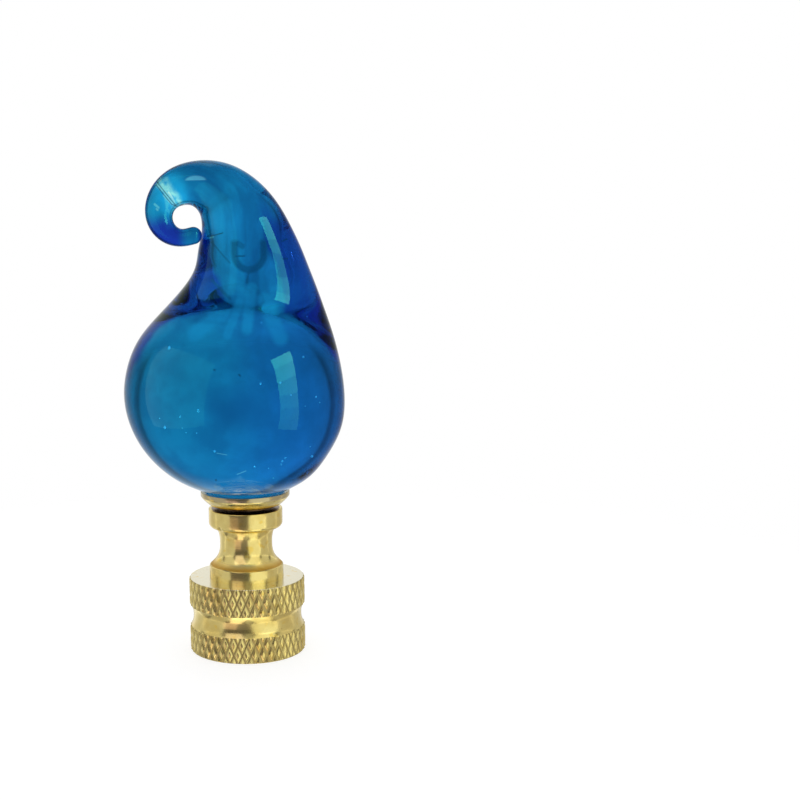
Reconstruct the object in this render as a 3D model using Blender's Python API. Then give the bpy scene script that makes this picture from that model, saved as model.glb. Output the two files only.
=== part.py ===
"""Lamp shade finial: a blue glass ornament, seated in a turned brass cup on a knurled brass base.

Metres, +Z up. The origin is on the axis of the threaded socket, in the plane of the underside.
The glass bends to the left, which is -X, and its tip comes a little forward, which is -Y.
"""

import math

import bmesh
import bpy
from mathutils import Matrix, Vector

# Grip of the base: two knurled bands with a smooth cove between them
GRIP_RADIUS = 0.00635
LOWER_BAND_HEIGHT = 0.00278
COVE_HEIGHT = 0.00227
UPPER_BAND_HEIGHT = 0.00305
COVE_RADIUS = 0.00595
COVE_HOLLOW = 0.00026
COVE_ROUNDNESS = 2.4
BAND_CHAMFER = 0.00012
BAND_EDGE_INSET = 0.00014

# Knurl: pyramids in staggered rows, counted once round the grip
KNURL_COUNT = 43
KNURL_ROW_RISE = 0.00108
KNURL_DEPTH = 0.0002
UPPER_BAND_FIRST_ROW = 0.00047
LOWER_BAND_FIRST_ROW = 0.0009

# Foot block, waisted neck and flange above the grip
FOOT_RADIUS = 0.00405
FOOT_HEIGHT = 0.00136
NECK_HEIGHT = 0.00416
NECK_RADIUS = 0.00287
NECK_TOP_RADIUS = 0.00325
NECK_WAIST_SHARE = 0.57
NECK_FLARE_POWER = 2.7
FLANGE_RADIUS = 0.00404
FLANGE_THICKNESS = 0.0021
FLANGE_LOWER_ROUND = 0.0006
EDGE_BREAK = 0.00008

# Threaded socket for the stud of the lamp harp: quarter inch, drilled and tapped from below
SOCKET_RADIUS = 0.0032
SOCKET_DEPTH = 0.0072
SOCKET_MOUTH_CHAMFER = 0.0003
DRILL_POINT_DEGREES = 118.0
DRILL_POINT_FLAT = 0.0003

# Cup that carries the glass
CUP_JOINT_GAP = 0.0003
CUP_FOOT_RADIUS = 0.0034
CUP_FOOT_HEIGHT = 0.00008
CUP_UNDERCUT_HEIGHT = 0.00015
CUP_BOWL_RADIUS = 0.00395
CUP_BOWL_HEIGHT = 0.00095
CUP_BOWL_ROUNDNESS = 1.25
CUP_LIP_HEIGHT = 0.00048
CUP_RIM_RADIUS = 0.00486
CUP_RIM_BREAK = 0.00005

# Glass ornament: the dome that seats in the cup, the bulb, and the whole height
SEAT_GAP = 0.00015
SEAT_DOME_RADIUS = 0.0143
BULB_RADIUS = 0.01197
GLASS_HEIGHT = 0.0364
CURL_TIP_FORWARD = 0.0017

# Facets round each piece
CUP_SIDES = 40
GLASS_SIDES = 28

# Finishes
GLASS_BLUE = (0.012, 0.14, 0.48, 1.0)
BRASS_YELLOW = (0.72, 0.56, 0.22, 1.0)

# Heights that follow from the sizes above
COVE_BOTTOM = LOWER_BAND_HEIGHT
UPPER_BAND_BOTTOM = COVE_BOTTOM + COVE_HEIGHT
GRIP_TOP = UPPER_BAND_BOTTOM + UPPER_BAND_HEIGHT
FOOT_TOP = GRIP_TOP + FOOT_HEIGHT
FLANGE_BOTTOM = FOOT_TOP + NECK_HEIGHT
FLANGE_TOP = FLANGE_BOTTOM + FLANGE_THICKNESS
CUP_BOTTOM = FLANGE_TOP + CUP_JOINT_GAP
CUP_UNDERSIDE = CUP_BOTTOM + CUP_FOOT_HEIGHT
CUP_BOWL_BOTTOM = CUP_UNDERSIDE + CUP_UNDERCUT_HEIGHT
CUP_LIP_BOTTOM = CUP_BOWL_BOTTOM + CUP_BOWL_HEIGHT
CUP_TOP = CUP_LIP_BOTTOM + CUP_LIP_HEIGHT

# The dish of the cup and the dome of the glass share one centre, a seat gap apart
DISH_RADIUS = SEAT_DOME_RADIUS + SEAT_GAP
DISH_EDGE_RADIUS = CUP_RIM_RADIUS - CUP_RIM_BREAK
SEAT_CENTRE_HEIGHT = CUP_TOP + math.sqrt(DISH_RADIUS ** 2 - DISH_EDGE_RADIUS ** 2)
GLASS_BOTTOM = SEAT_CENTRE_HEIGHT - SEAT_DOME_RADIUS

# Rings of the bulb: height and sideways shift as shares of the glass height,
# half width as a share of the bulb radius, depth as a share of the half width,
# and shift to the back as a share of the glass height
BULB_RING_SHARES = (
    (0.060, -0.006, 0.614, 1.0, 0.0),
    (0.124, -0.016, 0.806, 1.0, 0.0),
    (0.205, -0.020, 0.946, 1.0, 0.0),
    (0.300, -0.026, 0.997, 1.0, 0.0),
    (0.395, -0.026, 0.963, 0.985, 0.0),
    (0.481, -0.017, 0.874, 0.937, 0.002),
    (0.554, 0.004, 0.740, 0.878, 0.019),
)

# Rings of the neck: height, sideways shift and half width, all as shares of the glass height,
# depth as a share of the half width, and shift to the back as a share of the glass height
NECK_RING_SHARES = (
    (0.624, 0.025, 0.198, 0.89, 0.021),
    (0.692, 0.033, 0.164, 0.934, 0.011),
    (0.743, 0.027, 0.150, 0.927, 0.001),
    (0.786, 0.023, 0.1345, 0.955, 0.0),
)

# Curl: rings on rays from the middle of its eye, with the ray's angle in degrees, the inner and
# outer distance from the eye as shares of the glass height, the depth of the ring as a share of
# its half width, and how much of the tip's forward reach it has
CURL_EYE_SHARES = (-0.155, 0.833)
CURL_RING_SHARES = (
    (0.0, 0.042, 0.289, 0.96, 0.00),
    (25.0, 0.039, 0.235, 0.95, 0.00),
    (50.0, 0.038, 0.199, 0.94, 0.00),
    (80.0, 0.037, 0.168, 0.94, 0.02),
    (110.0, 0.037, 0.148, 0.95, 0.06),
    (145.0, 0.041, 0.133, 0.96, 0.14),
    (180.0, 0.042, 0.121, 0.98, 0.30),
    (215.0, 0.041, 0.106, 1.00, 0.55),
    (250.0, 0.038, 0.091, 1.00, 0.80),
    (290.0, 0.031, 0.082, 1.00, 1.00),
)

DOME_RINGS = 4
STEPS_BETWEEN_RINGS = 2
TIP_RINGS = 3
TIP_LAST_RING_DEGREES = 80.0


def clear_scene():
    """Remove the objects that the scene starts with."""
    for thing in list(bpy.data.objects):
        bpy.data.objects.remove(thing, do_unlink=True)


def brass(name, roughness):
    """Yellow brass, bright from the lathe or duller."""
    material = bpy.data.materials.new(name)
    material.use_nodes = True
    shader = material.node_tree.nodes["Principled BSDF"]
    shader.inputs["Base Color"].default_value = BRASS_YELLOW
    shader.inputs["Metallic"].default_value = 1.0
    shader.inputs["Roughness"].default_value = roughness
    return material


def blue_glass():
    """Clear glass, blue all through."""
    material = bpy.data.materials.new("blue_glass")
    material.use_nodes = True
    shader = material.node_tree.nodes["Principled BSDF"]
    shader.inputs["Base Color"].default_value = GLASS_BLUE
    shader.inputs["Metallic"].default_value = 0.0
    shader.inputs["Roughness"].default_value = 0.02
    shader.inputs["IOR"].default_value = 1.5
    shader.inputs["Transmission Weight"].default_value = 1.0
    return material


def finished_object(name, bm, material, sharp_degrees):
    """Turn a closed bmesh into a smooth-shaded object with its faces pointing out."""
    bmesh.ops.recalc_face_normals(bm, faces=bm.faces)
    mesh = bpy.data.meshes.new(name)
    bm.to_mesh(mesh)
    bm.free()
    mesh.shade_smooth()
    mesh.set_sharp_from_angle(angle=math.radians(sharp_degrees))
    mesh.materials.append(material)
    thing = bpy.data.objects.new(name, mesh)
    bpy.context.scene.collection.objects.link(thing)
    return thing


def turned(profile, sides):
    """Spin a profile of (radius, height) points about Z and close its two ends."""
    bm = bmesh.new()
    points = [bm.verts.new((radius, 0.0, height)) for radius, height in profile]
    edges = [bm.edges.new(pair) for pair in zip(points, points[1:])]
    bmesh.ops.spin(bm, geom=points + edges, cent=(0.0, 0.0, 0.0), axis=(0.0, 0.0, 1.0),
                   angle=math.tau, steps=sides, use_merge=True)
    close_ends(bm)
    return bm


def close_ends(bm):
    """Fill each open ring with a fan of triangles."""
    open_edges = [edge for edge in bm.edges if edge.is_boundary]
    caps = bmesh.ops.holes_fill(bm, edges=open_edges, sides=0)["faces"]
    bmesh.ops.poke(bm, faces=caps)


def arc(centre, radius, start_degrees, end_degrees, steps):
    """Points of an arc in the profile plane, both ends included."""
    points = []
    for step in range(steps + 1):
        angle = math.radians(start_degrees + (end_degrees - start_degrees) * step / steps)
        points.append((centre[0] + radius * math.cos(angle), centre[1] + radius * math.sin(angle)))
    return points


def knurl_rise(column, row):
    """Height of the knurl from 0 in its grooves to 1 on a peak; peaks are where both are even
    or both are odd, and the grooves cross on the slants between them."""
    return min(abs((column + row) % 2.0 - 1.0), abs((column - row) % 2.0 - 1.0))


def band_rows(bottom, height, first_row):
    """Heights of the rings of a knurled band, from its lower chamfer to its upper one."""
    low = bottom + BAND_CHAMFER
    high = bottom + height - BAND_CHAMFER
    rows = [low]
    row = bottom + first_row
    while row < high - BAND_CHAMFER / 2.0:
        if row > low + BAND_CHAMFER / 2.0:
            rows.append(row)
        row += KNURL_ROW_RISE
    rows.append(high)
    return rows


def band_profile(bottom, height, first_row):
    """Profile of a knurled band, with a plain edge at the foot of each chamfer."""
    plain = GRIP_RADIUS - BAND_EDGE_INSET
    rings = [(GRIP_RADIUS, row) for row in band_rows(bottom, height, first_row)]
    return [(plain, bottom)] + rings + [(plain, bottom + height)]


def cove_profile():
    """Hollow between the two bands, without the corners that the bands give it."""
    middle = COVE_BOTTOM + COVE_HEIGHT / 2.0
    points = []
    for share in (-1.0, -0.6, 0.0, 0.6, 1.0):
        points.append((COVE_RADIUS + COVE_HOLLOW * abs(share) ** COVE_ROUNDNESS,
                       middle + share * COVE_HEIGHT / 2.0))
    return points


def neck_profile():
    """Waisted neck: it flares out to the foot below and to the flange above."""
    waist = FOOT_TOP + NECK_HEIGHT * NECK_WAIST_SHARE
    points = []
    for share in (-0.9, -0.72, -0.5, 0.0, 0.6, 1.0):
        reach = waist - FOOT_TOP if share < 0.0 else FLANGE_BOTTOM - waist
        end_radius = FOOT_RADIUS if share < 0.0 else NECK_TOP_RADIUS
        flare = (end_radius - NECK_RADIUS) * abs(share) ** NECK_FLARE_POWER
        points.append((NECK_RADIUS + flare, waist + share * reach))
    return points


def socket_profile():
    """Blind bore from its drill point down to the chamfer at its mouth."""
    slope = math.tan(math.radians(90.0 - DRILL_POINT_DEGREES / 2.0))
    return [
        (DRILL_POINT_FLAT, SOCKET_DEPTH + (SOCKET_RADIUS - DRILL_POINT_FLAT) * slope),
        (SOCKET_RADIUS, SOCKET_DEPTH),
        (SOCKET_RADIUS, SOCKET_MOUTH_CHAMFER),
        (SOCKET_RADIUS + SOCKET_MOUTH_CHAMFER, 0.0),
    ]


def flange_profile():
    """Flange under the cup, with a rounded lower corner and a broken upper edge."""
    corner = (FLANGE_RADIUS - FLANGE_LOWER_ROUND, FLANGE_BOTTOM + FLANGE_LOWER_ROUND)
    return arc(corner, FLANGE_LOWER_ROUND, -90.0, 0.0, 2) + [
        (FLANGE_RADIUS, FLANGE_TOP - EDGE_BREAK),
        (FLANGE_RADIUS - EDGE_BREAK, FLANGE_TOP),
    ]


def cut_knurl(bm, bottom, height, first_row):
    """Press the grooves of one band into its rings, and crease each cell along its groove."""
    low = bottom + BAND_CHAMFER / 2.0
    high = bottom + height - BAND_CHAMFER / 2.0
    for vert in bm.verts:
        if low < vert.co.z < high and vert.co.xy.length > GRIP_RADIUS - BAND_EDGE_INSET:
            column = round(math.atan2(vert.co.y, vert.co.x) * KNURL_COUNT / math.pi)
            row = (vert.co.z - bottom - first_row) / KNURL_ROW_RISE
            cut = KNURL_DEPTH * (1.0 - knurl_rise(column, row))
            vert.co.xy *= (GRIP_RADIUS - cut) / GRIP_RADIUS
    for face in list(bm.faces):
        if len(face.verts) == 4 and all(low < vert.co.z < high for vert in face.verts):
            one, two, three, four = face.verts
            if one.co.xy.length + three.co.xy.length < two.co.xy.length + four.co.xy.length:
                bmesh.utils.face_split(face, one, three)
            else:
                bmesh.utils.face_split(face, two, four)


def brass_base():
    """Base turned from one bar: socket, grip, foot block, neck and flange."""
    profile = socket_profile()
    profile += band_profile(0.0, LOWER_BAND_HEIGHT, LOWER_BAND_FIRST_ROW)
    profile += cove_profile()
    profile += band_profile(UPPER_BAND_BOTTOM, UPPER_BAND_HEIGHT, UPPER_BAND_FIRST_ROW)
    profile += [
        (FOOT_RADIUS, GRIP_TOP),
        (FOOT_RADIUS, FOOT_TOP - EDGE_BREAK),
        (FOOT_RADIUS - EDGE_BREAK, FOOT_TOP),
    ]
    profile += neck_profile()
    profile += flange_profile()
    bm = turned(profile, 2 * KNURL_COUNT)
    cut_knurl(bm, 0.0, LOWER_BAND_HEIGHT, LOWER_BAND_FIRST_ROW)
    cut_knurl(bm, UPPER_BAND_BOTTOM, UPPER_BAND_HEIGHT, UPPER_BAND_FIRST_ROW)
    return finished_object("brass_base", bm, brass("knurled_brass", 0.25), 28.0)


def brass_cup():
    """Cup with a shallow dish on top, a short lip, and a bowl that tucks in to a small foot."""
    dish = []
    for share in (0.1, 0.35, 0.6, 0.8, 1.0):
        radius = DISH_EDGE_RADIUS * share
        dish.append((radius, SEAT_CENTRE_HEIGHT - math.sqrt(DISH_RADIUS ** 2 - radius ** 2)))
    bowl = []
    for share in (0.0, 0.3, 0.65):
        tuck = (CUP_RIM_RADIUS - CUP_BOWL_RADIUS) * share ** CUP_BOWL_ROUNDNESS
        bowl.append((CUP_RIM_RADIUS - tuck, CUP_LIP_BOTTOM - CUP_BOWL_HEIGHT * share))
    profile = dish + [(CUP_RIM_RADIUS, CUP_TOP - CUP_RIM_BREAK)] + bowl + [
        (CUP_BOWL_RADIUS, CUP_BOWL_BOTTOM),
        (CUP_FOOT_RADIUS, CUP_UNDERSIDE),
        (CUP_FOOT_RADIUS, CUP_BOTTOM),
    ]
    return finished_object("brass_cup", turned(profile, CUP_SIDES), brass("cup_brass", 0.2), 28.0)


def dome_rows():
    """Rings of the spherical dome under the bulb, from near its pole to the cup's rim."""
    rows = []
    for ring in range(1, DOME_RINGS + 1):
        radius = CUP_RIM_RADIUS * ring / DOME_RINGS
        height = SEAT_DOME_RADIUS - math.sqrt(SEAT_DOME_RADIUS ** 2 - radius ** 2)
        rows.append((0.0, 0.0, GLASS_BOTTOM + height, radius, 0.0, 1.0))
    return rows


def body_rows():
    """Rings of the bulb and the neck: x, y, height, half width, tilt and depth share."""
    rows = []
    for height, shift, width, depth, back in BULB_RING_SHARES:
        rows.append((shift * GLASS_HEIGHT, back * GLASS_HEIGHT, GLASS_BOTTOM + height * GLASS_HEIGHT,
                     width * BULB_RADIUS, 0.0, depth))
    for height, shift, width, depth, back in NECK_RING_SHARES:
        rows.append((shift * GLASS_HEIGHT, back * GLASS_HEIGHT, GLASS_BOTTOM + height * GLASS_HEIGHT,
                     width * GLASS_HEIGHT, 0.0, depth))
    return rows


def curl_rows():
    """Rings of the curl, each on its ray from the eye."""
    rows = []
    for degrees, inner, outer, depth, forward in CURL_RING_SHARES:
        angle = math.radians(degrees)
        middle = (inner + outer) / 2.0
        rows.append(((CURL_EYE_SHARES[0] + middle * math.cos(angle)) * GLASS_HEIGHT,
                     -forward * CURL_TIP_FORWARD,
                     GLASS_BOTTOM + (CURL_EYE_SHARES[1] + middle * math.sin(angle)) * GLASS_HEIGHT,
                     (outer - inner) / 2.0 * GLASS_HEIGHT, angle, depth))
    return rows


def smooth_rows(rows, steps):
    """Run a smooth curve through the rows, with some steps from each row to the next."""
    places = [0.0]
    for before, after in zip(rows, rows[1:]):
        places.append(places[-1] + (Vector(after[:4]) - Vector(before[:4])).length)
    slopes = []
    for index in range(len(rows)):
        low = max(index - 1, 0)
        high = min(index + 1, len(rows) - 1)
        reach = places[high] - places[low]
        slopes.append([(b - a) / reach for a, b in zip(rows[low], rows[high])])
    smooth = [rows[0]]
    for index in range(len(rows) - 1):
        reach = places[index + 1] - places[index]
        for step in range(1, steps + 1):
            t = step / steps
            start, end = (1.0 + 2.0 * t) * (1.0 - t) ** 2, t ** 2 * (3.0 - 2.0 * t)
            leave, arrive = t * (1.0 - t) ** 2 * reach, t ** 2 * (t - 1.0) * reach
            smooth.append(tuple(
                start * a + end * b + leave * c + arrive * d
                for a, b, c, d in zip(rows[index], rows[index + 1], slopes[index], slopes[index + 1])
            ))
    return smooth


def tip_rows(last):
    """Round end of the curl, beyond its last ring."""
    x, y, z, width, tilt, depth = last
    rows = []
    for ring in range(1, TIP_RINGS + 1):
        angle = math.radians(TIP_LAST_RING_DEGREES) * ring / TIP_RINGS
        reach = width * math.sin(angle)
        rows.append((x - reach * math.sin(tilt), y, z + reach * math.cos(tilt),
                     width * math.cos(angle), tilt, depth))
    return rows


def ring_frame(row):
    """Matrix that lays a unit circle on a ring: across it, through its depth, and along the rod."""
    x, y, z, width, tilt, depth = row
    across = Vector((math.cos(tilt), 0.0, math.sin(tilt)))
    through = Vector((0.0, 1.0, 0.0))
    along = across.cross(through)
    frame = Matrix((across * width, through * width * depth, along)).transposed().to_4x4()
    frame.translation = (x, y, z)
    return frame


def glass_ornament():
    """One gather of solid glass: dome, bulb, neck and a curl drawn over to one side."""
    rows = smooth_rows(dome_rows()[-1:] + body_rows() + curl_rows(), STEPS_BETWEEN_RINGS)
    rows = dome_rows()[:-1] + rows + tip_rows(rows[-1])
    bm = bmesh.new()
    before = None
    for row in rows:
        circle = bmesh.ops.create_circle(bm, cap_ends=False, radius=1.0, segments=GLASS_SIDES,
                                         matrix=ring_frame(row))
        ring = list({edge for vert in circle["verts"] for edge in vert.link_edges})
        if before:
            bmesh.ops.bridge_loops(bm, edges=before + ring)
        before = ring
    close_ends(bm)
    return finished_object("glass_ornament", bm, blue_glass(), 60.0)


clear_scene()
brass_base()
brass_cup()
glass_ornament()
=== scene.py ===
import math
import random

import bmesh
import bpy
import numpy as np
from mathutils import Matrix, Vector


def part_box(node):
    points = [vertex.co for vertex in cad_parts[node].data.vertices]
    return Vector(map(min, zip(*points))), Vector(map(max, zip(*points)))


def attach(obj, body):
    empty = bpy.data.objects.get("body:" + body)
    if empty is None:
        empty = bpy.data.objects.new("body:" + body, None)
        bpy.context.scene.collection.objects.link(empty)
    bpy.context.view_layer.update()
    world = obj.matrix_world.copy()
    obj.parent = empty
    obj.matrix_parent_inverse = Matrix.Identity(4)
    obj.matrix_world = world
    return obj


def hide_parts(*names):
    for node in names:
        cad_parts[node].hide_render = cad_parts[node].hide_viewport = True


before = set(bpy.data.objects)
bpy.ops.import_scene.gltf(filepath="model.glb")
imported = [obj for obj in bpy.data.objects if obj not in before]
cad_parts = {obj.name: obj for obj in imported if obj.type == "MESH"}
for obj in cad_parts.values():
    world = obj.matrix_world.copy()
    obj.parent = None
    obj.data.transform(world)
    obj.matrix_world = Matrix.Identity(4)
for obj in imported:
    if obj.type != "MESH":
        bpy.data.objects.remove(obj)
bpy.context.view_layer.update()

# Brass base
# One length of brass bar, turned, drilled and tapped: a grip of two knurled bands with a smooth
# cove between them, a foot block, a waisted neck and the flange that carries the cup.

BASE_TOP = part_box("brass_base")[1].z
GRIP_RADIUS = 0.00635
LOWER_BAND_HEIGHT = 0.00278
COVE_HEIGHT = 0.00227
UPPER_BAND_HEIGHT = 0.00305
COVE_RADIUS = 0.00595
COVE_HOLLOW = 0.00026
COVE_ROUNDNESS = 2.4
BAND_CHAMFER = 0.00012
BAND_EDGE_INSET = 0.00014
UPPER_BAND_BOTTOM = LOWER_BAND_HEIGHT + COVE_HEIGHT
GRIP_TOP = UPPER_BAND_BOTTOM + UPPER_BAND_HEIGHT
FOOT_RADIUS = 0.00405
FOOT_TOP = GRIP_TOP + 0.00136
NECK_RADIUS = 0.00287
NECK_TOP_RADIUS = 0.00325
NECK_WAIST_SHARE = 0.57
NECK_FLARE_POWER = 2.7
FLANGE_RADIUS = 0.00404
FLANGE_THICKNESS = 0.0021
FLANGE_BOTTOM = BASE_TOP - FLANGE_THICKNESS
FLANGE_LOWER_ROUND = 0.0006
EDGE_BREAK = 0.00008

KNURL_COUNT = 43
KNURL_DEPTH = 0.00018
KNURL_ROW_RISE = 0.00108
KNURL_FLAT_TOP = 0.625
KNURL_GROOVE_FLOOR = 0.125
LOWER_BAND_FIRST_ROW = 0.0009
UPPER_BAND_FIRST_ROW = 0.00047
STEPS_PER_KNURL = 16

SOCKET_RADIUS = 0.0032
SOCKET_DEPTH = 0.0072
SOCKET_MOUTH_CHAMFER = 0.0003
DRILL_POINT_DEGREES = 118.0
THREAD_PITCH = 0.0254 / 27
THREAD_DEPTH = 0.00042
THREAD_TURNS = 6.5
THREAD_STEPS = 48

JOINT_SHADE_RADIUS = 0.0037
JOINT_SHADE_TOP = BASE_TOP + 0.0005
YELLOW_BRASS = (0.87, 0.72, 0.27, 1.0)
GILT = (0.85, 0.58, 0.08, 1.0)
GROOVE_DARK = (0.30, 0.24, 0.10, 1.0)
SPECK = (0.42, 0.24, 0.05, 1.0)
JOINT_SHADE = (0.16, 0.09, 0.035, 1.0)
CORNER_GOLD = (0.62, 0.36, 0.05, 1.0)
DARK_GREY_LIP = (0.52, 0.44, 0.25, 1.0)
PALE_BED_LIGHT = (0.90, 0.92, 0.88, 1.0)
BED_LIGHT_DEPTH = 0.0006
CORNER_GOLD_HEIGHT = 0.0008
PALE_LEDGE = (0.84, 0.79, 0.58, 1.0)

NICK_DEGREES = 225.0
NICK_HEIGHT = 0.00028
NICK_RADIUS = 0.00034
NICK_DEPTH = 0.0001


def corner(centre, radius, start_degrees, end_degrees, steps):
    """Points of an arc in the profile plane of radius and height."""
    points = []
    for step in range(steps + 1):
        angle = math.radians(start_degrees + (end_degrees - start_degrees) * step / steps)
        points.append((centre[0] + radius * math.cos(angle), centre[1] + radius * math.sin(angle)))
    return points


def band(bottom, height, first_row):
    """Profile of a band before it is knurled: two chamfers, and rings that meet the knurl's edges."""
    low = bottom + BAND_CHAMFER
    high = bottom + height - BAND_CHAMFER
    plain = GRIP_RADIUS - BAND_EDGE_INSET
    rise = 2.0 * KNURL_ROW_RISE / STEPS_PER_KNURL
    points = [(plain, bottom), (GRIP_RADIUS, low)]
    for ring in range(-STEPS_PER_KNURL, 2 * STEPS_PER_KNURL):
        ring_height = bottom + first_row + ring * rise
        if low + rise / 3.0 < ring_height < high - rise / 3.0:
            points.append((GRIP_RADIUS, ring_height))
    return points + [(GRIP_RADIUS, high), (plain, bottom + height)]


def cove():
    """Shallow hollow between the bands, filleted into both."""
    middle = LOWER_BAND_HEIGHT + COVE_HEIGHT / 2.0
    points = []
    for step in range(-7, 8):
        share = step / 7.0
        points.append((COVE_RADIUS + COVE_HOLLOW * abs(share) ** COVE_ROUNDNESS,
                       middle + share * COVE_HEIGHT / 2.0))
    return points


def neck():
    """Waist between foot and flange, flaring to both."""
    height = FLANGE_BOTTOM - FOOT_TOP
    waist = FOOT_TOP + height * NECK_WAIST_SHARE
    points = []
    for step in range(-13, 16):
        share = step / 15.0
        reach = waist - FOOT_TOP if share < 0.0 else FLANGE_BOTTOM - waist
        end_radius = FOOT_RADIUS if share < 0.0 else NECK_TOP_RADIUS
        flare = (end_radius - NECK_RADIUS) * abs(share) ** NECK_FLARE_POWER
        points.append((NECK_RADIUS + flare, waist + share * reach))
    return points


def flange():
    """Flange with a rounded lower corner and a broken upper edge."""
    low = (FLANGE_RADIUS - FLANGE_LOWER_ROUND, FLANGE_BOTTOM + FLANGE_LOWER_ROUND)
    points = corner(low, FLANGE_LOWER_ROUND, -90.0, 0.0, 8)
    top = (FLANGE_RADIUS - EDGE_BREAK, BASE_TOP - EDGE_BREAK)
    for step in range(1, 7):
        points.append((FLANGE_RADIUS, low[1] + (top[1] - low[1]) * step / 7.0))
    return points + corner(top, EDGE_BREAK, 0.0, 90.0, 3)


def turned(profile, steps):
    """Spin a profile about Z as a lathe would, and close its ends."""
    bm = bmesh.new()
    points = [bm.verts.new((radius, 0.0, height)) for radius, height in profile]
    edges = [bm.edges.new(pair) for pair in zip(points, points[1:])]
    bmesh.ops.spin(bm, geom=points + edges, cent=(0.0, 0.0, 0.0), axis=(0.0, 0.0, 1.0),
                   angle=math.tau, steps=steps, use_merge=True)
    rims = [edge for edge in bm.edges if edge.is_boundary]
    ends = bmesh.ops.holes_fill(bm, edges=rims, sides=0)["faces"]
    bmesh.ops.poke(bm, faces=ends)
    return bm


def press_knurl(bm, bottom, height, first_row):
    """Press crossing grooves into a band, which leaves tall diamonds with blunt tops."""
    low = bottom + BAND_CHAMFER / 2.0
    high = bottom + height - BAND_CHAMFER / 2.0
    for vert in bm.verts:
        if low < vert.co.z < high and vert.co.xy.length > GRIP_RADIUS - BAND_EDGE_INSET:
            column = math.atan2(vert.co.y, vert.co.x) * KNURL_COUNT / math.pi
            row = (vert.co.z - bottom - first_row) / KNURL_ROW_RISE
            rise = min(abs((column + row) % 2.0 - 1.0), abs((column - row) % 2.0 - 1.0))
            rise = min(max(rise, KNURL_GROOVE_FLOOR), KNURL_FLAT_TOP) / KNURL_FLAT_TOP
            vert.co.xy *= (GRIP_RADIUS - KNURL_DEPTH * (1.0 - rise)) / GRIP_RADIUS


def finished(name, bm, sharp_degrees):
    """A closed bmesh as a smooth-shaded object with its faces pointing out."""
    bmesh.ops.recalc_face_normals(bm, faces=bm.faces)
    mesh = bpy.data.meshes.new(name)
    bm.to_mesh(mesh)
    bm.free()
    mesh.shade_smooth()
    mesh.set_sharp_from_angle(angle=math.radians(sharp_degrees))
    piece = bpy.data.objects.new(name, mesh)
    bpy.context.scene.collection.objects.link(piece)
    return piece


drill_slope = math.tan(math.radians(90.0 - DRILL_POINT_DEGREES / 2.0))
base_profile = [
    (EDGE_BREAK, SOCKET_DEPTH + (SOCKET_RADIUS - EDGE_BREAK) * drill_slope),
    (SOCKET_RADIUS, SOCKET_DEPTH),
    (SOCKET_RADIUS, SOCKET_MOUTH_CHAMFER),
    (SOCKET_RADIUS + SOCKET_MOUTH_CHAMFER, 0.0),
]
base_profile += band(0.0, LOWER_BAND_HEIGHT, LOWER_BAND_FIRST_ROW)
base_profile += cove()
base_profile += band(UPPER_BAND_BOTTOM, UPPER_BAND_HEIGHT, UPPER_BAND_FIRST_ROW)
base_profile += [(FOOT_RADIUS, GRIP_TOP)]
base_profile += corner((FOOT_RADIUS - EDGE_BREAK, FOOT_TOP - EDGE_BREAK), EDGE_BREAK, 0.0, 90.0, 3)
base_profile += neck()
base_profile += flange()
base_mesh = turned(base_profile, KNURL_COUNT * STEPS_PER_KNURL)
press_knurl(base_mesh, 0.0, LOWER_BAND_HEIGHT, LOWER_BAND_FIRST_ROW)
press_knurl(base_mesh, UPPER_BAND_BOTTOM, UPPER_BAND_HEIGHT, UPPER_BAND_FIRST_ROW)

nick_angle = math.radians(NICK_DEGREES)
nick = Vector((FLANGE_RADIUS * math.cos(nick_angle), FLANGE_RADIUS * math.sin(nick_angle),
               FLANGE_BOTTOM + NICK_HEIGHT))
for vert in base_mesh.verts:
    nearness = max(0.0, 1.0 - (vert.co - nick).length / NICK_RADIUS)
    vert.co.xy *= 1.0 - nearness ** 0.5 * NICK_DEPTH / FLANGE_RADIUS

thread_bm = bmesh.new()
thread_section = [
    thread_bm.verts.new((SOCKET_RADIUS + EDGE_BREAK, 0.0, 0.0)),
    thread_bm.verts.new((SOCKET_RADIUS - THREAD_DEPTH, 0.0, THREAD_PITCH * 0.44)),
    thread_bm.verts.new((SOCKET_RADIUS - THREAD_DEPTH, 0.0, THREAD_PITCH * 0.56)),
    thread_bm.verts.new((SOCKET_RADIUS + EDGE_BREAK, 0.0, THREAD_PITCH)),
]
thread_face = thread_bm.faces.new(thread_section)
bmesh.ops.spin(thread_bm, geom=[thread_face] + thread_section + list(thread_face.edges),
               cent=(0.0, 0.0, 0.0), axis=(0.0, 0.0, 1.0), angle=math.tau * THREAD_TURNS,
               dvec=(0.0, 0.0, THREAD_PITCH / THREAD_STEPS), steps=int(THREAD_TURNS * THREAD_STEPS))
bmesh.ops.translate(thread_bm, verts=thread_bm.verts, vec=(0.0, 0.0, SOCKET_MOUTH_CHAMFER))
bmesh.ops.recalc_face_normals(thread_bm, faces=thread_bm.faces)
thread_mesh = bpy.data.meshes.new("thread")
thread_bm.to_mesh(thread_mesh)
thread_bm.free()
base_mesh.from_mesh(thread_mesh)
bpy.data.meshes.remove(thread_mesh)
brass_base = finished("knurled_brass_base", base_mesh, 32.0)


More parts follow.
